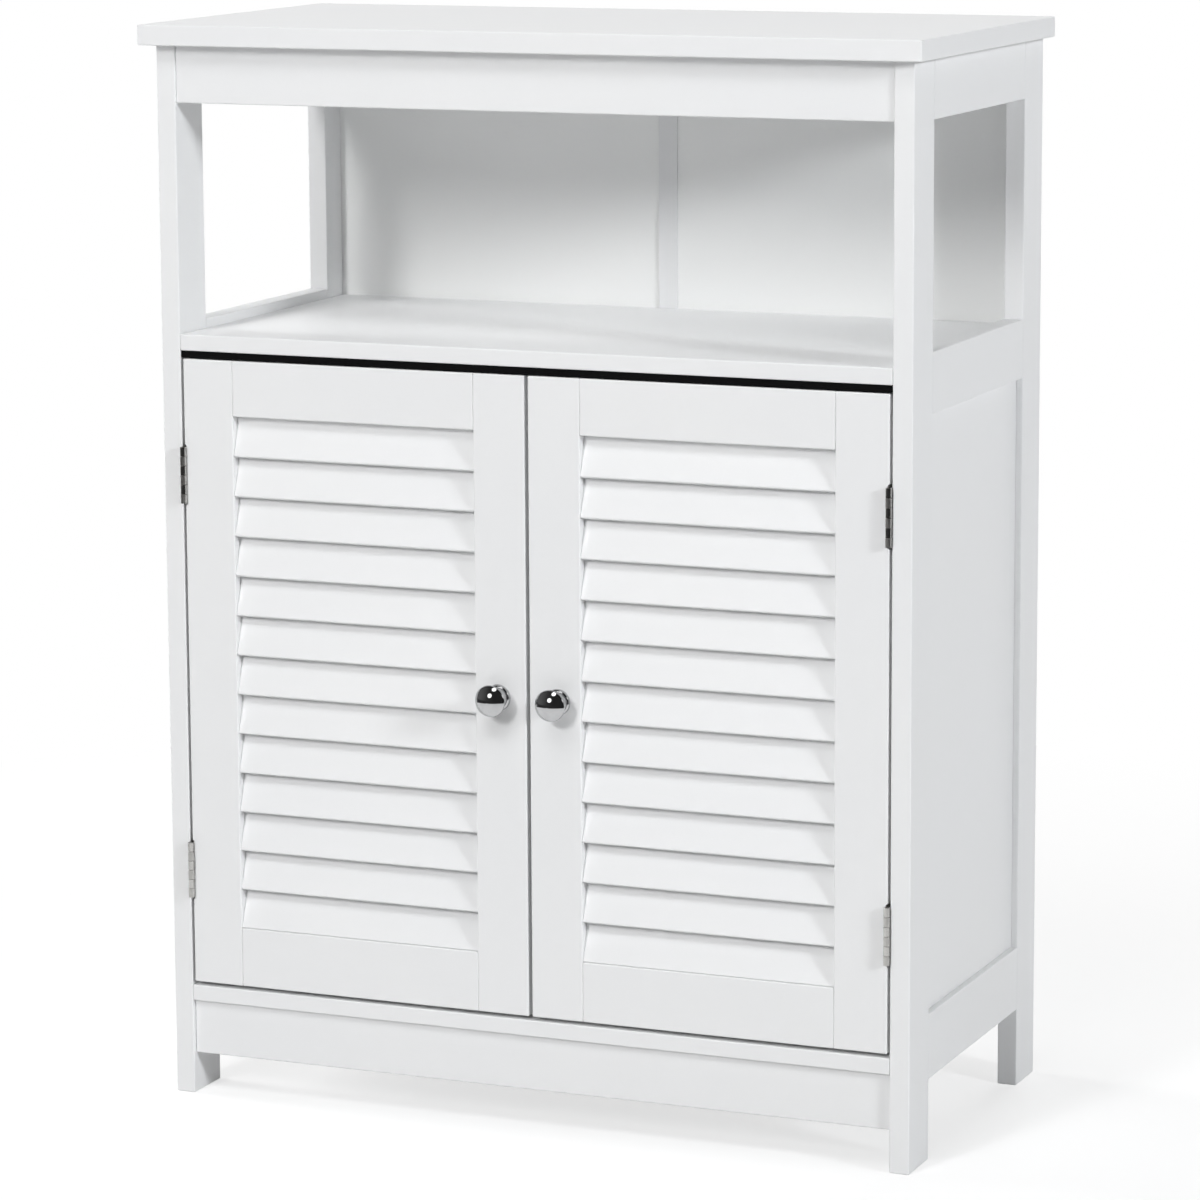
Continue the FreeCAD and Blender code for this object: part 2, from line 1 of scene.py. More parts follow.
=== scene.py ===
# %% [markdown]
# # A white cupboard with louvred doors
#
# The boards, hinges and knobs of this cupboard come ready made, at their real size, from the packed
# solid model. This lesson gives each of them the finish of the real thing, lights the set and places
# the camera of the picture. No solid is moved or reshaped here. What makes the cupboard look real is
# paint that isn't quite flat, metal that has something to mirror, and soft light that still leaves dark
# gaps between the slats.

# %% Load the solid model
import json
import math

import bmesh
import bpy
from mathutils import Matrix, Vector


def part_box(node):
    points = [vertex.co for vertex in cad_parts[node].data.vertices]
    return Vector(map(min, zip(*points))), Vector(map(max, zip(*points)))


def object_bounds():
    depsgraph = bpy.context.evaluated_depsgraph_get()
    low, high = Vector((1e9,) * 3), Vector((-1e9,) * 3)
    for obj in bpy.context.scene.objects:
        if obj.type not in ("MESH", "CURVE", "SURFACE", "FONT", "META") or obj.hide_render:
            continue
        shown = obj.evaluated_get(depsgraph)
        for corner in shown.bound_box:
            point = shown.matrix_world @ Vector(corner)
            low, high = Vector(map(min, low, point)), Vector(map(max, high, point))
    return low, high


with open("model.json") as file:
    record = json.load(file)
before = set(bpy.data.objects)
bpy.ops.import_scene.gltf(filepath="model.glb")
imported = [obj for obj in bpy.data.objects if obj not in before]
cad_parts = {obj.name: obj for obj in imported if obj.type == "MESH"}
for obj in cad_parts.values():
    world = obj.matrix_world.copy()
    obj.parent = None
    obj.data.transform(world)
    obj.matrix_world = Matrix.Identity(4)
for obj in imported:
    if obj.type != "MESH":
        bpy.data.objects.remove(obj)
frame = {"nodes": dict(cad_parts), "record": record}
nodes = frame["nodes"]
solid_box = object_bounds()

# %% [markdown]
# ## Shader sums in plain Python
#
# A material is a graph of nodes, and wiring it by hand in Python soon hides the idea behind the
# plumbing. A small class wraps one socket and answers to plus, minus and times, so that a sum such as
# `1 - mask` adds its own Math node. Everything else, from a noise to the final surface, is added by one
# method that takes the node's type, its settings and its sockets. Colours and vectors never go through
# the sums, because a Math node turns them grey.

# %% A socket that answers to sums
class Wire:
    """One value in a node tree. A sum with it adds a Math node."""

    def __init__(self, finish, socket):
        self.finish = finish
        self.socket = socket

    def __add__(self, other):
        return self.finish.sum_of("ADD", self, other)

    def __radd__(self, other):
        return self.finish.sum_of("ADD", other, self)

    def __sub__(self, other):
        return self.finish.sum_of("SUBTRACT", self, other)

    def __rsub__(self, other):
        return self.finish.sum_of("SUBTRACT", other, self)

    def __mul__(self, other):
        return self.finish.sum_of("MULTIPLY", self, other)

    def __rmul__(self, other):
        return self.finish.sum_of("MULTIPLY", other, self)


print("a wire answers to plus, minus and times")

# %% A finish in the making
class Finish:
    """A node tree in the making, for a material or for the world."""

    def __init__(self, holder):
        holder.use_nodes = True
        self.holder = holder
        self.tree = holder.node_tree
        self.tree.nodes.clear()

    def node(self, kind, settings=None, sockets=None, output=0):
        """Adds one node, its settings first and then its sockets, and gives one of its outputs."""
        made = self.tree.nodes.new(kind)
        for key, value in (settings or {}).items():
            if key == "stops":
                self.set_stops(made.color_ramp, value)
            else:
                setattr(made, key, value)
        for key, value in (sockets or {}).items():
            if isinstance(value, Wire):
                self.tree.links.new(value.socket, made.inputs[key])
            else:
                made.inputs[key].default_value = value
        return Wire(self, made.outputs[output]) if made.outputs else None

    @staticmethod
    def set_stops(ramp, stops):
        """Gives a ramp its stops, each a place from 0 to 1 and a grey level."""
        while len(ramp.elements) < len(stops):
            ramp.elements.new(1.0)
        for element, (place, grey) in zip(ramp.elements, stops):
            element.position = place
            element.color = (grey, grey, grey, 1.0)

    def sum_of(self, operation, first, second):
        """A Math node on two numbers or wires."""
        return self.node("ShaderNodeMath", {"operation": operation}, {0: first, 1: second})

    def mix(self, factor, first, second):
        """A colour between two colours, which a Mix node takes in sockets 6 and 7 and gives as output 2."""
        return self.node("ShaderNodeMix", {"data_type": "RGBA"}, {0: factor, 6: first, 7: second}, 2)

    def coords(self, stretch=None):
        """Places in metres on the cupboard, times a stretch along each axis where one is given."""
        place = self.node("ShaderNodeTexCoord", output="Object")
        if stretch is None:
            return place
        return self.node("ShaderNodeVectorMath", {"operation": "MULTIPLY"}, {0: place, 1: stretch})

    def noise(self, place, per_metre, detail=2.0):
        """Cloudy noise from 0 to 1 with so many features to a metre."""
        sockets = {"Vector": place, "Scale": per_metre, "Detail": detail}
        return self.node("ShaderNodeTexNoise", {}, sockets, "Fac")

    def ramp(self, value, stops):
        """A grey that follows a value through a few stops."""
        return self.node("ShaderNodeValToRGB", {"stops": stops}, {"Fac": value})

    def bump(self, height, depth):
        """A normal for a surface whose height of 0 to 1 stands for so many metres."""
        return self.node("ShaderNodeBump", {}, {"Height": height, "Distance": depth}, "Normal")

    def end(self, shader):
        """Ends a material in one shader."""
        self.node("ShaderNodeOutputMaterial", {}, {"Surface": shader})
        return self.holder

    def surface(self, sockets):
        """Ends a material in one solid surface."""
        return self.end(self.node("ShaderNodeBsdfPrincipled", {}, sockets))


print("a finish adds nodes, from noises and ramps to the surface that ends it")

# %% Helpers for finishes
def new_finish(name):
    """An empty material, ready for its nodes."""
    return Finish(bpy.data.materials.new(name))


def between(limits, share):
    """A number between two limits, by a share from 0 to 1."""
    low, high = limits
    return low + (high - low) * share


print("the finish kit is ready")

# %% [markdown]
# ## White satin paint
#
# The boards are smooth fibreboard under sprayed white paint. From a step away it is one even white, but
# close up it has a fine orange peel, a lay of soft streaks along each board, and a tone that drifts a
# little. The thin panels are glossier, and the two at the back are of a more neutral white that is also
# made lighter, a painted light for the shaded back of the open bay.
# A photograph of paint would tile and would have to be unwrapped over every board. Noise in the
# cupboard's own metres needs neither, and one paint for each axis lets the lay run along the longest
# side of any board.

# %% Paint for boards
COOL_WHITE = (0.861, 0.866, 0.873, 1.0)
WARM_WHITE = (0.876, 0.879, 0.881, 1.0)
PEEL_PER_METRE = 430.0
PEEL_SHARE = 0.7  # of the paint's height, and the rest is lay
PAINT_DEPTH = 0.00004
LAY_PER_METRE = 260.0
LAY_STRETCH = 0.05  # the lay's features along the board, as a share of those across it
LAY_SHEEN_SHARE = 0.5  # of the change in gloss, and the rest is drift
DRIFT_PER_METRE = 6.0
DRIFT_STOPS = [(0.3, 0.0), (0.7, 1.0)]


def painted_board(name, along, roughness, cool=COOL_WHITE, warm=WARM_WHITE):
    """White paint with its lay along one axis of the cupboard."""
    finish = new_finish(name)
    stretch = [1.0, 1.0, 1.0]
    stretch[along] = LAY_STRETCH
    lay = finish.noise(finish.coords(stretch), LAY_PER_METRE, detail=3.0)
    place = finish.coords()
    peel = finish.noise(place, PEEL_PER_METRE, detail=1.0)
    drift = finish.ramp(finish.noise(place, DRIFT_PER_METRE, detail=3.0), DRIFT_STOPS)
    height = PEEL_SHARE * peel + (1.0 - PEEL_SHARE) * lay
    sheen = LAY_SHEEN_SHARE * lay + (1.0 - LAY_SHEEN_SHARE) * drift
    return finish.surface({
        "Base Color": finish.mix(drift, cool, warm),
        "Roughness": between(roughness, sheen),
        "Normal": finish.bump(height, PAINT_DEPTH),
    })


print("a paint has", PEEL_PER_METRE, "bumps of peel to a metre")

# %% Mix the paints
AXES = ("across", "deep", "upright")
UPRIGHT = AXES.index("upright")
BOARD_ROUGHNESS = (0.36, 0.46)
THIN_ROUGHNESS = (0.30, 0.40)
# The back white is more neutral, and it is also lighter than the other whites: a painted light for the
# shaded back of the open bay.
COOL_BACK_WITH_PAINTED_LIGHT = (0.903, 0.910, 0.904, 1.0)
WARM_BACK_WITH_PAINTED_LIGHT = (0.916, 0.920, 0.914, 1.0)

board_paints = []
for axis, word in enumerate(AXES):
    board_paints.append(painted_board("board_paint_" + word, axis, BOARD_ROUGHNESS))
side_panel_paint = painted_board("thin_board_paint_upright", UPRIGHT, THIN_ROUGHNESS)
back_panel_paint = painted_board("back_panel_paint", UPRIGHT, THIN_ROUGHNESS, COOL_BACK_WITH_PAINTED_LIGHT, WARM_BACK_WITH_PAINTED_LIGHT)
print("mixed", len(board_paints), "board paints,", side_panel_paint.name, "and", back_panel_paint.name)

# %% [markdown]
# ## White plastic, and black rubber that paints a shadow
#
# The strip that joins the two back panels is extruded, so it has faint draw lines along its length. The
# catch is moulded, with a fine spark texture. The band over the doors is black sponge rubber, full of
# small cells. It is a dark band put in the gap above the doors, where there is only shade, so its black
# is a painted shadow. A flat colour would do for such small pieces until the camera comes near. All three
# differ in their grain more than in their colour, so the grain is what each of them gets.

# %% Drawn plastic
DRAWN_SHADE = (0.80, 0.805, 0.815, 1.0)
DRAWN_WHITE = (0.835, 0.838, 0.845, 1.0)
DRAWN_ROUGHNESS = (0.32, 0.44)
DRAW_LINES_PER_METRE = 1600.0
DRAW_LINE_STRETCH = (1.0, 1.0, 0.004)
DRAW_LINE_DEPTH = 0.00003


def drawn_plastic():
    """White extruded plastic with draw lines up its length."""
    finish = new_finish("drawn_white_plastic")
    lines = finish.noise(finish.coords(DRAW_LINE_STRETCH), DRAW_LINES_PER_METRE)
    return finish.surface({
        "Base Color": finish.mix(lines, DRAWN_SHADE, DRAWN_WHITE),
        "Roughness": between(DRAWN_ROUGHNESS, lines),
        "Normal": finish.bump(lines, DRAW_LINE_DEPTH),
    })


joining_plastic = drawn_plastic()
print("mixed", joining_plastic.name)

# %% Moulded plastic
MOULDED_SHADE = (0.76, 0.76, 0.755, 1.0)
MOULDED_WHITE = (0.80, 0.80, 0.80, 1.0)
MOULDED_ROUGHNESS = (0.42, 0.58)
SPARKS_PER_METRE = 2600.0
SPARK_DEPTH = 0.00005
FLOW_PER_METRE = 60.0


def moulded_plastic():
    """White moulded plastic with a fine spark texture."""
    finish = new_finish("moulded_white_plastic")
    place = finish.coords()
    spark = finish.noise(place, SPARKS_PER_METRE)
    flow = finish.noise(place, FLOW_PER_METRE)
    return finish.surface({
        "Base Color": finish.mix(flow, MOULDED_SHADE, MOULDED_WHITE),
        "Roughness": between(MOULDED_ROUGHNESS, spark),
        "Normal": finish.bump(spark, SPARK_DEPTH),
    })


catch_plastic = moulded_plastic()
print("mixed", catch_plastic.name)

# %% Sponge rubber
# The band's near black is a painted shadow: a dark band set in the gap above the doors, where there is only
# shade.
SHADOW_BAND_PORE_BLACK = (0.002, 0.002, 0.002, 1.0)
SHADOW_BAND_BLACK = (0.006, 0.006, 0.0065, 1.0)
RUBBER_ROUGHNESS = (0.95, 0.85)  # in the pores and on the skin between them
RUBBER_SHINE = 0.1
CELLS_PER_METRE = 1500.0
CELL_STOPS = [(0.15, 0.0), (0.6, 1.0)]
CELL_DEPTH = 0.0001


def painted_shadow_rubber():
    """Black sponge rubber with small open cells, whose black is a painted shadow in the gap above the
    doors.
    """
    finish = new_finish("painted_shadow_black_sponge")
    sockets = {"Vector": finish.coords(), "Scale": CELLS_PER_METRE}
    cells = finish.node("ShaderNodeTexVoronoi", {"feature": "F1"}, sockets, "Distance")
    skin = finish.ramp(cells, CELL_STOPS)
    return finish.surface({
        "Base Color": finish.mix(skin, SHADOW_BAND_PORE_BLACK, SHADOW_BAND_BLACK),
        "Roughness": between(RUBBER_ROUGHNESS, skin),
        "Specular IOR Level": RUBBER_SHINE,
        "Normal": finish.bump(skin, CELL_DEPTH),
    })


# The black band over the doors, which paints the shadow in the gap above them.
painted_shadow_band = painted_shadow_rubber()
print("mixed", painted_shadow_band.name)

# %% [markdown]
# ## Chrome, nickel and zinc
#
# The knobs are polished chrome: nearly a mirror, with a breath of haze where hands touch it. The hinges
# are nickel plate on rolled steel, and the leaves on the frame are more polished than those on the doors.
# The frame leaves are also tinted darker and the door leaves paler: a painted shade and a painted light
# that stand in for the dark and pale reflections of alternate knuckles. Screws and strike plates are
# zinc, with the cloudy blue and straw tints of its passivation, and the cams are dull castings. A grey
# paint with a highlight would look like plastic, because most of what a metal shows is its surroundings.
# So each one is a metallic surface whose tint and roughness vary a little, and the set gives it light
# and dark things to mirror.

# %% Polished chrome
CLEAR_CHROME = (0.50, 0.503, 0.51, 1.0)
HAZY_CHROME = (0.45, 0.453, 0.46, 1.0)
CHROME_ROUGHNESS = 0.02
HAZE_ROUGHNESS = 0.05
SCUFF_ROUGHNESS = 0.015
HAZE_PER_METRE = 130.0
HAZE_STOPS = [(0.45, 0.0), (0.75, 1.0)]
SCUFFS_PER_METRE = 5200.0


def polished_chrome():
    """A mirror with a little haze and fine scuffs."""
    finish = new_finish("polished_chrome")
    place = finish.coords()
    haze = finish.ramp(finish.noise(place, HAZE_PER_METRE, detail=4.0), HAZE_STOPS)
    scuff = finish.noise(place, SCUFFS_PER_METRE, detail=1.0)
    return finish.surface({
        "Base Color": finish.mix(haze, CLEAR_CHROME, HAZY_CHROME),
        "Metallic": 1.0,
        "Roughness": CHROME_ROUGHNESS + HAZE_ROUGHNESS * haze + SCUFF_ROUGHNESS * scuff,
    })


chrome = polished_chrome()
print("mixed", chrome.name)

# %% Satin metals
CLOUDS_PER_METRE = 240.0
RUB_ROUGHNESS = 0.14
CLOUD_ROUGHNESS = 0.06
LEAF_GRAIN = (900.0, 900.0, 240.0)
LEAF_DEPTH = 0.00002


def satin_metal(name, dark, light, rough, grain, depth):
    """A metal between two tints, with a grain of so many features to a metre along each axis."""
    finish = new_finish(name)
    rub = finish.noise(finish.coords(grain), per_metre=1.0, detail=3.0)
    cloud = finish.noise(finish.coords(), CLOUDS_PER_METRE, detail=3.0)
    return finish.surface({
        "Base Color": finish.mix(cloud, dark, light),
        "Metallic": 1.0,
        "Roughness": rough + RUB_ROUGHNESS * rub + CLOUD_ROUGHNESS * cloud,
        "Normal": finish.bump(rub, depth),
    })


nickel = satin_metal(
    "satin_nickel", dark=(0.52, 0.50, 0.47, 1.0), light=(0.66, 0.645, 0.61, 1.0), rough=0.16,
    grain=(300.0, 300.0, 5200.0), depth=0.000012)
# The frame leaf's darker tint is a painted shade, and the door leaf's paler tint below is a painted light.
# They stand in for the dark and pale reflections of alternate knuckles.
shade_tinted_leaf = satin_metal(
    "hinge_frame_leaf_painted_shade", dark=(0.48, 0.475, 0.46, 1.0), light=(0.60, 0.594, 0.575, 1.0), rough=0.08,
    grain=LEAF_GRAIN, depth=LEAF_DEPTH)
light_tinted_leaf = satin_metal(
    "hinge_door_leaf_painted_light", dark=(0.54, 0.534, 0.517, 1.0), light=(0.66, 0.652, 0.63, 1.0), rough=0.24,
    grain=LEAF_GRAIN, depth=LEAF_DEPTH)
zinc = satin_metal(
    "bright_zinc", dark=(0.50, 0.51, 0.54, 1.0), light=(0.64, 0.63, 0.58, 1.0), rough=0.22,
    grain=(2400.0, 2400.0, 2400.0), depth=0.00002)
cast_zinc = satin_metal(
    "cast_zinc", dark=(0.40, 0.40, 0.41, 1.0), light=(0.52, 0.52, 0.53, 1.0), rough=0.38,
    grain=(1500.0, 1500.0, 1500.0), depth=0.00006)
print("mixed", ", ".join(metal.name for metal in (nickel, shade_tinted_leaf, light_tinted_leaf, zinc, cast_zinc)))

# %% [markdown]
# ## Beech and ferrite
#
# The dowels hide inside the joints and the magnets inside the catch. Any brown and any grey would do
# while the cupboard stands whole, but the model can be taken apart. So the dowels are bare beech with
# short dark flecks, and the magnets are pressed ferrite, a dark grey that is slightly grainy.

# %% Bare beech
BEECH_DARK = (0.50, 0.33, 0.18, 1.0)
BEECH_LIGHT = (0.62, 0.43, 0.25, 1.0)
BEECH_FLECK = (0.30, 0.17, 0.08, 1.0)
BEECH_ROUGHNESS = (0.62, 0.82)
TONES_PER_METRE = 120.0
FLECK_GRAIN = (900.0, 900.0, 160.0)
FLECK_STOPS = [(0.55, 0.0), (0.72, 1.0)]
FLECK_DEPTH = 0.00005


def bare_beech():
    """Unpainted beech with short flecks that lie a little lower."""
    finish = new_finish("bare_beech")
    fleck = finish.ramp(finish.noise(finish.coords(FLECK_GRAIN), per_metre=1.0), FLECK_STOPS)
    tone = finish.noise(finish.coords(), TONES_PER_METRE)
    plain = finish.mix(tone, BEECH_DARK, BEECH_LIGHT)
    return finish.surface({
        "Base Color": finish.mix(fleck, plain, BEECH_FLECK),
        "Roughness": between(BEECH_ROUGHNESS, tone),
        "Normal": finish.bump(1.0 - fleck, FLECK_DEPTH),
    })


beech = bare_beech()
print("mixed", beech.name)

# %% Pressed ferrite
FERRITE_DARK = (0.016, 0.016, 0.017, 1.0)
FERRITE_LIGHT = (0.045, 0.045, 0.047, 1.0)
FERRITE_METAL = 0.3
FERRITE_ROUGHNESS = (0.45, 0.70)
GRIT_PER_METRE = 3000.0
GRIT_DEPTH = 0.00004


def pressed_ferrite():
    """Dark grey ferrite with a fine grit."""
    finish = new_finish("pressed_ferrite")
    grit = finish.noise(finish.coords(), GRIT_PER_METRE, detail=3.0)
    return finish.surface({
        "Base Color": finish.mix(grit, FERRITE_DARK, FERRITE_LIGHT),
        "Metallic": FERRITE_METAL,
        "Roughness": between(FERRITE_ROUGHNESS, grit),
        "Normal": finish.bump(grit, GRIT_DEPTH),
    })


ferrite = pressed_ferrite()
print("mixed", ferrite.name)

# %% [markdown]
# ## Each solid gets its finish
#
# A finish could be picked for each solid by hand, but the record of the model already says which slot
# it belongs to. One short table from slot to material dresses nearly all of them. Painted boards take
# the paint whose lay runs along their longest side. The two leaves of a hinge take a finish each. The
# frame leaf is tinted darker and the door leaf paler, which paints the dark and pale reflections of
# their alternate knuckles.

# %% Dress the solids
FINISHES = {
    "thin_board_paint": side_panel_paint,
    "strip_plastic": joining_plastic,
    "strip_rubber": painted_shadow_band,
    "knob_chrome": chrome,
    "hinge_nickel": nickel,
    "screw_zinc": zinc,
    "cam_zinc": cast_zinc,
    "pin_nickel": nickel,
    "catch_plastic": catch_plastic,
    "magnet_ferrite": ferrite,
    "dowel_beech": beech,
}


def longest_axis(node):
    """The axis, from 0 to 2, along which a solid is longest."""
    low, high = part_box(node)
    size = high - low
    return max(range(len(AXES)), key=lambda axis: size[axis])


def finish_for(node, slot):
    """The material of a solid."""
    # The back panels take the lighter white, which paints light into the shaded back of the bay.
    if node.endswith("back_panel"):
        return back_panel_paint
    if slot == "board_paint":
        return board_paints[longest_axis(node)]
    # A darker tint on the frame leaf and a paler one on the door leaf paint the dark and pale reflections
    # of the knuckles.
    if node.endswith("frame_leaf"):
        return shade_tinted_leaf
    if node.endswith("door_leaf"):
        return light_tinted_leaf
    return FINISHES[slot]


for part in frame["record"]["subparts"]:
    material = finish_for(part["node"], part["material_slot"])
    for holder in nodes[part["node"]].material_slots:
        holder.material = material
print("dressed", len(nodes), "solids")

# %% [markdown]
# ## Floor and world
#
# The picture has a white ground. A floor bright enough to clip would also flood the cupboard with light
# from below, so the white is given only to rays from the camera and from mirrors: the Light Path node
# tells those apart. Other rays meet a pale floor and a soft sky at a plain level. Near the cupboard the
# floor keeps the shadow that is really there, and further off it fades into plain white.

# %% Floor finish
FLOOR_PALE = (0.58, 0.58, 0.58, 1.0)
FLOOR_SHADE = (0.42, 0.42, 0.42, 1.0)  # how much of the real light and shadow the camera sees
FLOOR_GLOW = 0.62
PLAIN_GLOW = 1.0
SHADOW_REACH = 1.3  # metres from the cupboard's middle to where the floor is plain white
SHADOW_STOPS = [(0.35, 0.0), (1.0, 1.0)]
DIRECT_RAYS = ("Is Camera Ray", "Is Glossy Ray", "Is Transmission Ray")


def seen_directly(finish):
    """1 for rays from the camera, from mirrors and through glass, and 0 for rays that light things."""
    eye, mirror, glass = [finish.node("ShaderNodeLightPath", output=way) for way in DIRECT_RAYS]
    return finish.node("ShaderNodeClamp", {}, {"Value": eye + mirror + glass})


def floor_finish():
    """Pale for the light, and near white, with the shadow, for the camera."""
    finish = new_finish("pale_floor")
    pale = finish.node("ShaderNodeBsdfDiffuse", {}, {"Color": FLOOR_PALE})
    shade = finish.node("ShaderNodeBsdfDiffuse", {}, {"Color": FLOOR_SHADE})
    glow = finish.node("ShaderNodeEmission", {}, {"Strength": FLOOR_GLOW})
    shaded = finish.node("ShaderNodeAddShader", {}, {0: shade, 1: glow})
    plain = finish.node("ShaderNodeEmission", {}, {"Strength": PLAIN_GLOW})
    reach = finish.node("ShaderNodeVectorMath", {"operation": "LENGTH"}, {0: finish.coords()}, "Value")
    far_off = finish.ramp(reach * (1.0 / SHADOW_REACH), SHADOW_STOPS)
    white = finish.node("ShaderNodeMixShader", {}, {0: far_off, 1: shaded, 2: plain})
    ground = finish.node("ShaderNodeMixShader", {}, {0: seen_directly(finish), 1: pale, 2: white})
    return finish.end(ground)


pale_floor = floor_finish()
print("mixed", pale_floor.name)

# %% Lay the floor
FLOOR_SIZE = 60.0


def set_piece(name, form, material):
    """An object of the set, from a mesh in the making."""
    mesh = bpy.data.meshes.new(name)
    form.to_mesh(mesh)
    form.free()
    mesh.materials.append(material)
    piece = bpy.data.objects.new(name, mesh)
    bpy.context.scene.collection.objects.link(piece)
    return piece


sheet = bmesh.new()
bmesh.ops.create_grid(sheet, x_segments=1, y_segments=1, size=FLOOR_SIZE / 2)
bmesh.ops.translate(sheet, verts=sheet.verts, vec=(0.0, 0.0, solid_box[0].z))
floor = set_piece("floor", sheet, pale_floor)
print("a floor of", FLOOR_SIZE, "m")

# %% World
SKY_WHITE = (1.0, 1.0, 1.0, 1.0)
SKY_FILL = 0.10

world = bpy.data.worlds.new("studio")
bpy.context.scene.world = world
sky = Finish(world)
fill = sky.node("ShaderNodeBackground", {}, {"Color": SKY_WHITE, "Strength": SKY_FILL})
white = sky.node("ShaderNodeBackground", {}, {"Color": SKY_WHITE, "Strength": PLAIN_GLOW})
whole_sky = sky.node("ShaderNodeMixShader", {}, {0: seen_directly(sky), 1: fill, 2: white})
sky.node("ShaderNodeOutputWorld", {}, {"Surface": whole_sky})
print("a sky fill of", SKY_FILL)

# %% [markdown]
# ## Softboxes
#
# The shadows in the open bay and under the slats tell where the real lamps stood. A narrow one in
# front, a little to the left, and a small one that shines in through the right window make the slanting
# edges on the back panels. Broad ones, high in front and on the left, give the even white of the
# boards. A faint one overhead lifts the top, and one behind lights the rear, which the picture doesn't
# show. A picture of a studio as the world would give all this in one step, but lamps of their own can
# be moved and dimmed one at a time.

# %% Lamp helpers
LAMP_DISTANCE = 5.0
PLAIN_LAMP = (1.0, 1.0, 1.0)
COOL_LAMP = (0.96, 0.98, 1.0)
aim = (solid_box[0] + solid_box[1]) / 2


def way_to(azimuth, elevation):
    """The direction so many degrees to the right of the cupboard's front and above the level."""
    turn = math.radians(azimuth)
    rise = math.radians(elevation)
    return Vector((math.sin(turn) * math.cos(rise), -math.cos(turn) * math.cos(rise), math.sin(rise)))


def hang(thing, azimuth, elevation):
    """Hangs a lamp or a disc in one direction, so that it faces the cupboard's middle."""
    way = way_to(azimuth, elevation)
    thing.location = aim + way * LAMP_DISTANCE
    thing.rotation_euler = way.to_track_quat("Z", "Y").to_euler()


def softbox(name, azimuth, elevation, wide, tall, watts, tint=PLAIN_LAMP):
    """An oval lamp that lights the cupboard and that mirrors don't show."""
    lamp = bpy.data.lights.new(name, "AREA")
    lamp.shape = "ELLIPSE"
    lamp.size = wide
    lamp.size_y = tall
    lamp.energy = watts
    lamp.color = tint
    holder = bpy.data.objects.new(name, lamp)
    hang(holder, azimuth, elevation)
    holder.visible_glossy = False
    bpy.context.scene.collection.objects.link(holder)
    return holder


print("lamps face", aim, "from", LAMP_DISTANCE, "m")

# %% Softboxes
lamps = [
    softbox("front_strip", azimuth=-12.5, elevation=25.0, wide=0.8, tall=1.4, watts=95.0),
    softbox("high_front_softbox", azimuth=-4.0, elevation=54.0, wide=2.0, tall=2.0, watts=54.0),
    softbox("right_softbox", azimuth=72.0, elevation=19.5, wide=0.8, tall=0.8, watts=114.0, tint=COOL_LAMP),
    softbox("left_softbox", azimuth=-95.0, elevation=22.0, wide=2.4, tall=1.9, watts=150.0),
    softbox("overhead_softbox", azimuth=40.0, elevation=80.0, wide=1.9, tall=1.9, watts=6.0),
    softbox("rear_softbox", azimuth=180.0, elevation=12.0, wide=2.6, tall=2.6, watts=110.0),
]
print("hung", len(lamps), "softboxes")

# %% [markdown]
# ## Something dark to mirror
#
# Chrome looks like chrome only when it mirrors both light and dark. The knobs and hinges of the real
# cupboard show a white floor close to the doors, and beyond it the dark floor and walls of a studio,
# lighter on the left. Real walls would also keep light from the boards. So a curved dark screen stands
# round the front, with its foot on the floor a step away, and only mirror rays can see it.

# %% Studio glow
SCREEN_RADIUS = 7.0
STUDIO_GLOW = [(0.0, 0.16), (0.3, 0.055), (0.6, 0.03)]  # from the studio's left to its right


def studio_finish():
    """The glow of a dark studio, lighter on the left."""
    finish = new_finish("dark_studio")
    metres_right = finish.node("ShaderNodeSeparateXYZ", {}, {0: finish.coords()}, "X")
    left_to_right = metres_right * (0.5 / SCREEN_RADIUS) + 0.5  # 0 at the far left and 1 at the far right
    glow = finish.ramp(left_to_right, STUDIO_GLOW)
    return finish.end(finish.node("ShaderNodeEmission", {}, {"Color": glow}))


dark_studio = studio_finish()
print("mixed", dark_studio.name)

# %% Dark screen
SCREEN_STEPS = 24
SCREEN_TURNS = (-115.0, 115.0)  # degrees, from its left edge to its right
SCREEN_RISES = (-3.2, 88.0)  # degrees, from its lower edge to its top
DARK_FLOOR_START = 1.22  # metres from the cupboard's middle
DARK_FLOOR_LIFT = 0.002


def for_mirrors_only(thing):
    """Hides a piece of the set from every ray but those that metal mirrors."""
    for ray in ("camera", "diffuse", "transmission", "volume_scatter", "shadow"):
        setattr(thing, "visible_" + ray, False)


def dark_screen():
    """Part of a dome round the cupboard's front, from the floor to overhead."""
    form = bmesh.new()
    steps = [k / SCREEN_STEPS for k in range(SCREEN_STEPS + 1)]
    turns = [between(SCREEN_TURNS, step) for step in steps]
    floor_middle = Vector((0.0, 0.0, solid_box[0].z + DARK_FLOOR_LIFT))
    rows = [[form.verts.new(floor_middle + way_to(turn, 0.0) * DARK_FLOOR_START) for turn in turns]]
    for step in steps:
        rise = between(SCREEN_RISES, step)
        rows.append([form.verts.new(aim + way_to(turn, rise) * SCREEN_RADIUS) for turn in turns])
    for low, high in zip(rows, rows[1:]):
        for k in range(SCREEN_STEPS):
            form.faces.new((low[k], low[k + 1], high[k + 1], high[k]))
    return set_piece("dark_screen", form, dark_studio)


screen = dark_screen()
for_mirrors_only(screen)
print("a screen of", len(screen.data.polygons), "faces, for mirrors only")

# %% [markdown]
# ## White discs
#
# The knobs of the real cupboard also show the lamps, as round white spots with sharp edges. The
# softboxes could be mirrored themselves, but then a change of light would change the spots. Plain discs
# that only mirrors see keep the two apart: each hangs where a spot on the knob points, and is as large
# as that spot.

# %% White discs
DISC_GLOW = 3.0
DISC_STEPS = 48


def disc_finish():
    """An even white glow."""
    finish = new_finish("white_disc")
    return finish.end(finish.node("ShaderNodeEmission", {}, {"Strength": DISC_GLOW}))


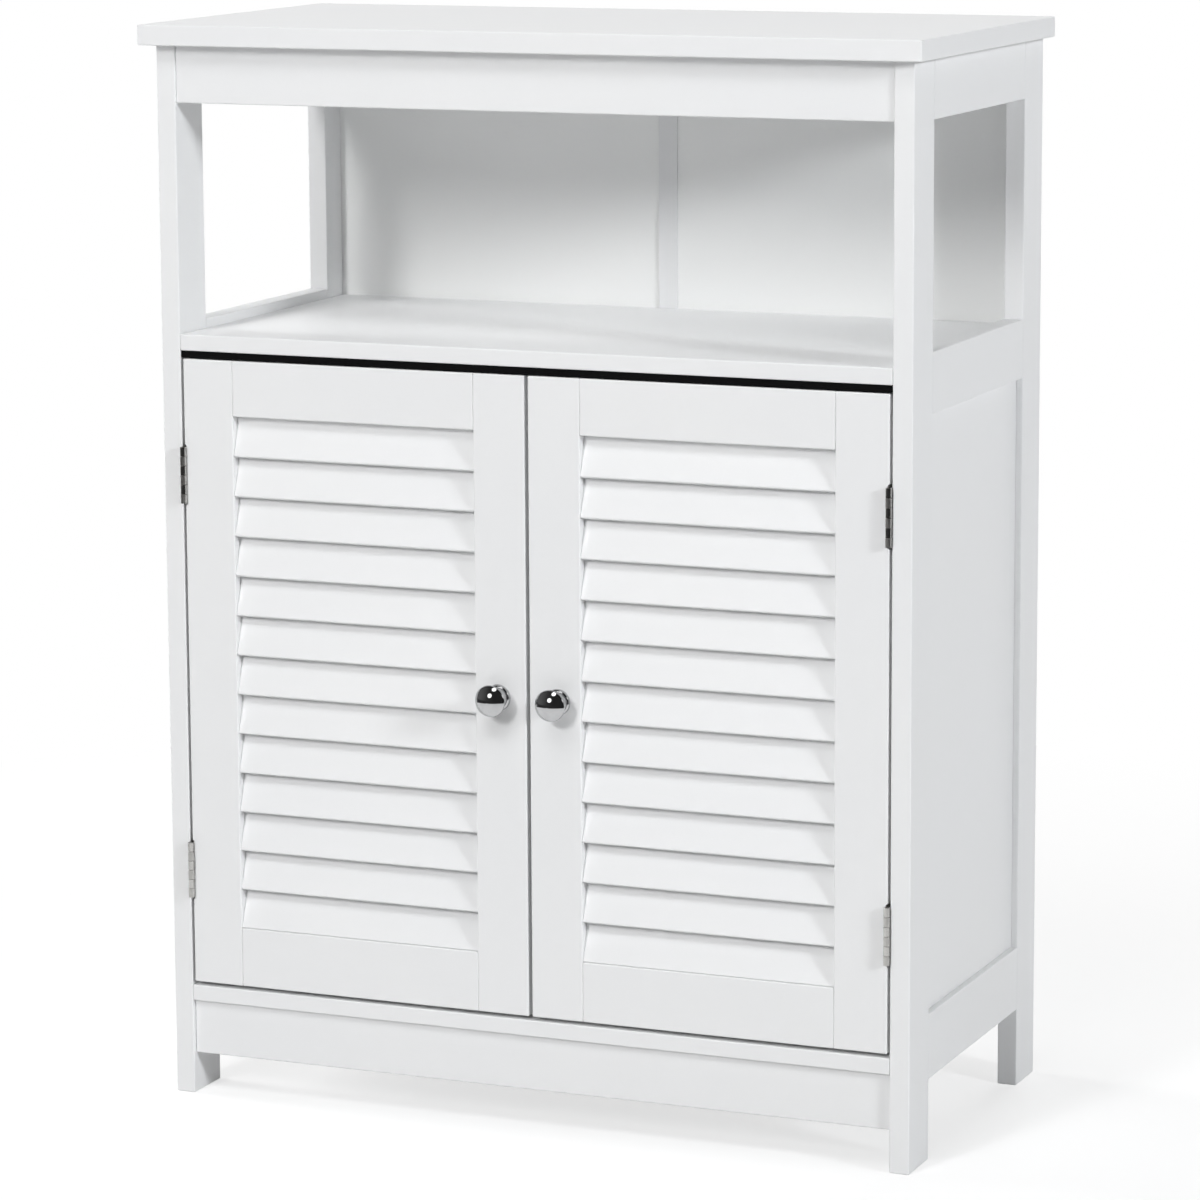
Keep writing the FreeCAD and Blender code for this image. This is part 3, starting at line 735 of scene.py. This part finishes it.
def mirrored_disc(name, material, azimuth, elevation, size):
    """A round white lamp face that only metal shows."""
    form = bmesh.new()
    bmesh.ops.create_circle(form, cap_ends=True, segments=DISC_STEPS, radius=size / 2)
    disc = set_piece(name, form, material)
    hang(disc, azimuth, elevation)
    for_mirrors_only(disc)
    return disc


white_glow = disc_finish()
discs = [
    mirrored_disc("front_disc", white_glow, azimuth=-11.5, elevation=23.0, size=1.9),
    mirrored_disc("right_disc", white_glow, azimuth=72.0, elevation=22.0, size=1.6),
    mirrored_disc("high_disc", white_glow, azimuth=8.0, elevation=58.0, size=1.8),
]
print("hung", len(discs), "white discs for mirrors only")

# %% [markdown]
# ## Camera
#
# The photograph was taken from the right and a little above, with a long lens. The numbers come from
# matching the cupboard's corners: where the camera stood, how far it turned, and the lens. The upright
# edges of the real picture hardly lean. Aiming level with a large lens shift would keep them so, but a
# shift pushes other views off the frame, so the camera tilts down and only a small shift is used.

# %% Which way the camera looks
CAMERA_YAW = math.radians(22.85)
CAMERA_PITCH = math.radians(9.49)
CAMERA_ROLL = math.radians(0.31)

forward = Vector((-math.sin(CAMERA_YAW) * math.cos(CAMERA_PITCH),
                  math.cos(CAMERA_YAW) * math.cos(CAMERA_PITCH),
                  -math.sin(CAMERA_PITCH)))
level_right = Vector((math.cos(CAMERA_YAW), math.sin(CAMERA_YAW), 0.0))
level_down = forward.cross(level_right)
right = level_right * math.cos(CAMERA_ROLL) + level_down * math.sin(CAMERA_ROLL)
down = level_down * math.cos(CAMERA_ROLL) - level_right * math.sin(CAMERA_ROLL)
turned = Matrix((right, -down, -forward)).transposed().to_4x4()
print("the camera looks along", forward)

# %% Camera
CAMERA_PLACE = Vector((1.3509, -3.2048, 0.9982))
CAMERA_LENS = 142.77
CAMERA_SHIFT = -0.05
CAMERA_REACH = 200.0

lens = bpy.data.cameras.new("camera")
lens.lens = CAMERA_LENS
lens.shift_y = CAMERA_SHIFT
lens.clip_end = CAMERA_REACH
camera = bpy.data.objects.new("camera", lens)
camera.matrix_world = Matrix.Translation(CAMERA_PLACE) @ turned
bpy.context.scene.collection.objects.link(camera)
bpy.context.scene.camera = camera
bpy.context.scene.view_settings.view_transform = "Standard"
print("camera at", CAMERA_PLACE, "with a lens of", CAMERA_LENS, "mm")
